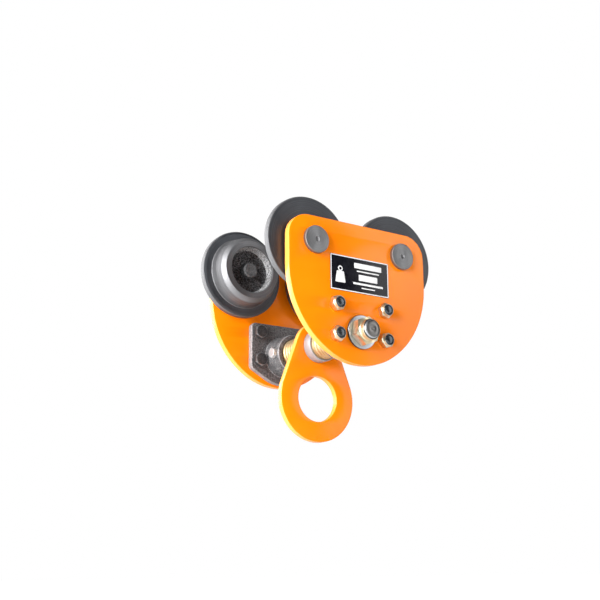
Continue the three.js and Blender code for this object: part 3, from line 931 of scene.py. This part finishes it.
# --- Spindle, its end nuts, the collars and the eye --------------------------------------------------------

SPINDLE_SHOULDER = -PLATE_OUTER_Y + 0.1 * MM
SPINDLE_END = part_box("spindle")[1].y


def thread_row(y, start, end):
    """One row across a right-hand trapezoidal thread, run out at both ends. Mirrored, it is left-hand."""
    fade = min(1.0, (y - start) / THREAD_PITCH, (end - y) / THREAD_PITCH)

    def row(angle):
        phase = (y / THREAD_PITCH - angle / (2 * math.pi)) % 1.0
        groove = min(1.0, max(0.0, abs(phase - 0.5) * 4 - 0.5))
        return THREAD_RADIUS - THREAD_DEPTH * groove * max(0.0, fade), y

    return row


def spindle_tip(sign):
    """Rows from the thread to the centre of the +Y end, or with sign -1 to that of the -Y end."""
    shoulder, end = SPINDLE_SHOULDER, SPINDLE_END
    undercut = END_RADIUS - 0.1 * MM
    rows = [
        (THREAD_RADIUS, shoulder - 1.5 * MM),
        (THREAD_RADIUS - 1.5 * MM, shoulder),
        (undercut, shoulder),
        (undercut, end - 5.2 * MM),
        (END_RADIUS, end - 5.0 * MM),
        (END_RADIUS, end - 1.6 * MM),
        (undercut, end - 1.4 * MM),
        (END_RADIUS - 1.4 * MM, end),
        (2.2 * MM, end),
        (1.4 * MM, end - 0.5 * MM),
        (0, end - 1.2 * MM),
    ]
    return [(radius, sign * y) for radius, y in rows]


def spindle_mesh():
    """Two threads of opposite hand with a plain middle between turned-down ends.
    Materials: 0 for the threads and the middle, 1 for the ends, 2 for their chamfers, a painted highlight."""
    rows_per_turn = 14
    start = -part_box("collar_near")[0].y + 0.5 * MM
    stop = SPINDLE_SHOULDER - 1.6 * MM
    count = math.ceil((stop - start) / (THREAD_PITCH / rows_per_turn))
    ys = [start + (stop - start) * k / count for k in range(count + 1)]
    threaded = [thread_row(y, start, stop) for y in ys]
    mirrored = [(lambda angle, r=row: (r(angle)[0], -r(angle)[1])) for row in threaded]
    rows = spindle_tip(-1)[::-1] + mirrored[::-1] + threaded + spindle_tip(1)
    tip_slots = [1, 1, 1, 2] + [1] * 5
    slots = tip_slots + [0] * (len(rows) - 1 - 2 * len(tip_slots)) + tip_slots[::-1]
    return swept("spindle", rows, sharp=50, slots=slots)


def make_spindle():
    axis = at(0, 0, SPINDLE_Z)
    # The chamfers round the ends take the bright washer steel, a painted highlight.
    looks = ["gold_zinc", "stub", "washer"]
    piece("threaded_spindle", spindle_mesh(), looks, "spindle", ["spindle"], axis)
    low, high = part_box("stop_washer_near")
    washer = ring_mesh("stop_washer", 12.4 * MM, 22 * MM, 0, high.y - low.y, 0.6 * MM, 96)
    for face in washer.polygons:  # its rim is painted black as shade from the gap at the plate, its faces bright
        face.material_index = 1 if abs(face.normal.y) < 0.5 else 0
    collar_low, collar_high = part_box("collar_near")
    collar = ring_mesh("collar", 20.2 * MM, 22.5 * MM, 0, collar_high.y - collar_low.y, 0.7 * MM, 96)
    nut_low, nut_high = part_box("spindle_nut_near")
    nut = lock_nut_mesh(
        "spindle_nut",
        flats=33 * MM,
        hex_height=12 * MM,
        collar=13.6 * MM,
        height=nut_high.y - nut_low.y,
        bore=12.2 * MM,
    )
    lean = Matrix.Rotation(math.radians(9), 4, "Y")
    nut_place = at(0, nut_high.y, SPINDLE_Z) @ lean
    for side, turn, _ in sides():
        for part, mesh, looks, body, slot, place in (
            ("stop_washer", washer, ["washer", "black"], "spindle", "white_zinc", at(0, low.y, SPINDLE_Z)),
            ("collar", collar, ["collar"], "centre", "white_zinc", at(0, collar_low.y, SPINDLE_Z)),
            ("spindle_nut", nut, ["yellow_zinc", "nylon"], "spindle", "yellow_zinc", nut_place),
        ):
            node = f"{part}_{side}"
            piece(f"plated_{node}", mesh, looks, body, [node], turn @ place)


def make_eye():
    """A drop-shaped plate: one arc round the spindle, a larger one round the load hole, straight between."""
    low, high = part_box("eye_plate")
    outer = high.x
    centre = low.z + outer
    top = high.z - SPINDLE_Z
    lean = math.degrees(math.asin((outer - top) / (SPINDLE_Z - centre)))
    outline = arc(0, SPINDLE_Z, top, lean, 180 - lean, 48) + arc(0, centre, outer, 180 - lean, 360 + lean, 96)
    spindle_hole, load_hole, bevel = THREAD_RADIUS + 0.5 * MM, 30.6 * MM, 1.1 * MM
    holes = [circle(0, SPINDLE_Z, spindle_hole, 64), circle(0, centre, load_hole, 96)]
    mesh = slab("eye_plate", outline, holes, low.y, high.y, bevel)
    # The rims get a paler orange, a painted highlight.
    piece("painted_eye_plate", mesh, ["paint", "paint_rim_highlight"], "eye", ["eye_plate"])


# --- Rating plate ------------------------------------------------------------------------------------------


def rectangle(x, z, width, height, corner):
    right, top = x + width / 2, z + height / 2
    left, bottom = x - width / 2, z - height / 2
    return rounded([(right, top), (left, top), (left, bottom), (right, bottom)], corner, steps=3, closed=True)


def make_label():
    """A black plate with a white border, blank bars where a maker prints text, and a plain weight symbol."""
    low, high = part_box("rating_plate")
    x, z = (low.x + high.x) / 2, (low.z + high.z) / 2
    width, height = high.x - low.x, high.z - low.z
    face = low.y + 0.06 * MM  # the print stands out from it to the CAD plate's own face
    black = slab("label", rectangle(x, z, width, height, 1.2 * MM), [], face, high.y, 0.1 * MM)
    piece("rating_plate_black", black, ["label_black"], "near_side", ["rating_plate"])
    border = rectangle(x, z, width - 0.6 * MM, height - 0.6 * MM, 1.0 * MM)
    inside = rectangle(x, z, width - 3.2 * MM, height - 3.2 * MM, 0.6 * MM)
    left, right = x - 0.335 * width, x + 0.14 * width  # the middles of the symbol and of the bars
    weight = [(left + dx * MM, z + dz * MM) for dx, dz in ((-8, -13), (8, -13), (5.5, 2), (-5.5, 2))]
    handle_z = z + 5.5 * MM
    shapes = [
        (border, [inside]),
        (rounded(weight, 1.2 * MM, steps=3, closed=True), []),
        (circle(left, handle_z, 3.6 * MM, 32), [circle(left, handle_z, 2.0 * MM, 32)]),
    ]
    for bar_z, bar_width, bar_height in (
        (13.0, 44, 7.0),
        (5.8, 36, 1.6),
        (-2.6, 30, 8.0),
        (-11.0, 48, 2.6),
        (-16.2, 22, 1.4),
    ):
        bar = rectangle(right, z + bar_z * MM, bar_width * MM, bar_height * MM, 0.5 * MM)
        shapes.append((bar, []))
    for index, (outline, holes) in enumerate(shapes):
        print_mesh = slab("print", outline, holes, low.y, face + 0.02 * MM, 0.01 * MM)
        piece(f"rating_plate_print_{index}", print_mesh, ["label_white"], "near_side")


# --- Stage, light and camera -------------------------------------------------------------------------------

FLOOR_Z = -0.44  # under the camera, which looks up at the trolley as it hangs
CENTRE = (0, 0, 0)
LIGHTS = (  # name, place, target, size, power in watts
    ("rim_left", (-1.2, 1.7, 0.5), CENTRE, (1.6, 1.6), 55),
    ("key_left", (-1.95, -0.6, 0.42), CENTRE, (1.0, 1.3), 66),
    ("side_left", (-1.2, -0.09, 0.05), (0, 0.08, -0.03), (0.5, 0.5), 13),
    ("key_front", (-0.35, -2.1, 0.45), CENTRE, (0.6, 0.6), 8),
    ("softbox_low", (1.5, -1.35, 0.1), CENTRE, (0.8, 0.8), 4.5),
    ("fill_right", (1.5, -1.35, 0.95), CENTRE, (0.9, 0.9), 7),
)


def make_light(name, place, target, size, power):
    light = bpy.data.lights.new(name, "AREA")
    light.shape = "RECTANGLE"
    light.size, light.size_y = size
    light.energy = power
    lamp = bpy.data.objects.new(name, light)
    bpy.context.scene.collection.objects.link(lamp)
    lamp.location = place
    lamp.rotation_euler = (Vector(target) - Vector(place)).to_track_quat("-Z", "Y").to_euler()


def make_floor():
    """A pale floor. To the camera it also glows, more with distance, and runs out into the white behind."""
    bpy.ops.mesh.primitive_plane_add(size=60, location=(0, 0, FLOOR_Z))
    floor = bpy.context.object
    floor.name = "floor"
    pale, white = (0.86, 0.86, 0.86, 1), (1, 1, 1, 1)
    surface = Surface("floor_pale", Roughness=0.9, Base_Color=pale, Emission_Color=white)
    reach = surface.node("ShaderNodeVectorMath", operation="LENGTH")
    surface.links.new(surface.place, reach.inputs[0])
    glow = surface.node("ShaderNodeMath", operation="MULTIPLY")
    surface.links.new(surface.range(reach.outputs["Value"], 0.35, 0.9, (0.5, 2.0)), glow.inputs[0])
    surface.links.new(surface.node("ShaderNodeLightPath").outputs["Is Camera Ray"], glow.inputs[1])
    surface.set("Emission Strength", glow.outputs[0])
    floor.data.materials.append(surface.material)


def make_world():
    """White behind the trolley. As a light it is dim, and dimmer still on the side that the front mirrors."""
    mirrored = (0.6, -0.77, 0.2)
    world = bpy.data.worlds.new("studio")
    bpy.context.scene.world = world
    world.use_nodes = True
    nodes, links = world.node_tree.nodes, world.node_tree.links
    background = nodes["Background"]
    background.inputs["Color"].default_value = (1, 1, 1, 1)
    seen, direction = nodes.new("ShaderNodeLightPath"), nodes.new("ShaderNodeTexCoord")
    facing = nodes.new("ShaderNodeVectorMath")
    facing.operation = "DOT_PRODUCT"
    facing.inputs[1].default_value = mirrored
    links.new(direction.outputs["Generated"], facing.inputs[0])
    dim = nodes.new("ShaderNodeMapRange")
    dim.inputs["From Min"].default_value, dim.inputs["From Max"].default_value = -0.2, 0.85
    dim.inputs["To Min"].default_value, dim.inputs["To Max"].default_value = 0.36, 0.04
    links.new(facing.outputs["Value"], dim.inputs["Value"])
    strength = nodes.new("ShaderNodeMapRange")
    strength.inputs["To Max"].default_value = 1.0
    links.new(dim.outputs["Result"], strength.inputs["To Min"])
    links.new(seen.outputs["Is Camera Ray"], strength.inputs["Value"])
    links.new(strength.outputs["Result"], background.inputs["Strength"])
    bpy.context.scene.view_settings.view_transform = "Standard"


def make_camera():
    """The view from below and to the left, with the lens shifted a little to the side."""
    azimuth, elevation, roll = math.radians(-34.41), math.radians(-15.02), math.radians(-0.54)
    distance, above_spindle = 1.40785, 0.06626
    target = Vector((0, 0, SPINDLE_Z + above_spindle))
    level = math.cos(elevation)
    back = Vector((math.sin(azimuth) * level, -math.cos(azimuth) * level, math.sin(elevation)))
    side = Vector((0, 0, 1)).cross(back).normalized()
    up = back.cross(side)
    right = math.cos(roll) * side + math.sin(roll) * up
    upright = -math.sin(roll) * side + math.cos(roll) * up
    data = bpy.data.cameras.new("camera")
    data.sensor_width = 36
    data.lens = 61.6404
    data.shift_x = -0.0250833
    data.clip_start, data.clip_end = 0.05, 100
    camera = bpy.data.objects.new("camera", data)
    bpy.context.scene.collection.objects.link(camera)
    axes = Matrix((right, upright, back)).transposed().to_4x4()
    camera.matrix_world = Matrix.Translation(target + back * distance) @ axes
    bpy.context.scene.camera = camera


make_plates()
make_wheels()
make_housings()
make_fasteners()
make_spindle()
make_eye()
make_label()
make_floor()
make_world()
for light in LIGHTS:
    make_light(*light)
make_camera()
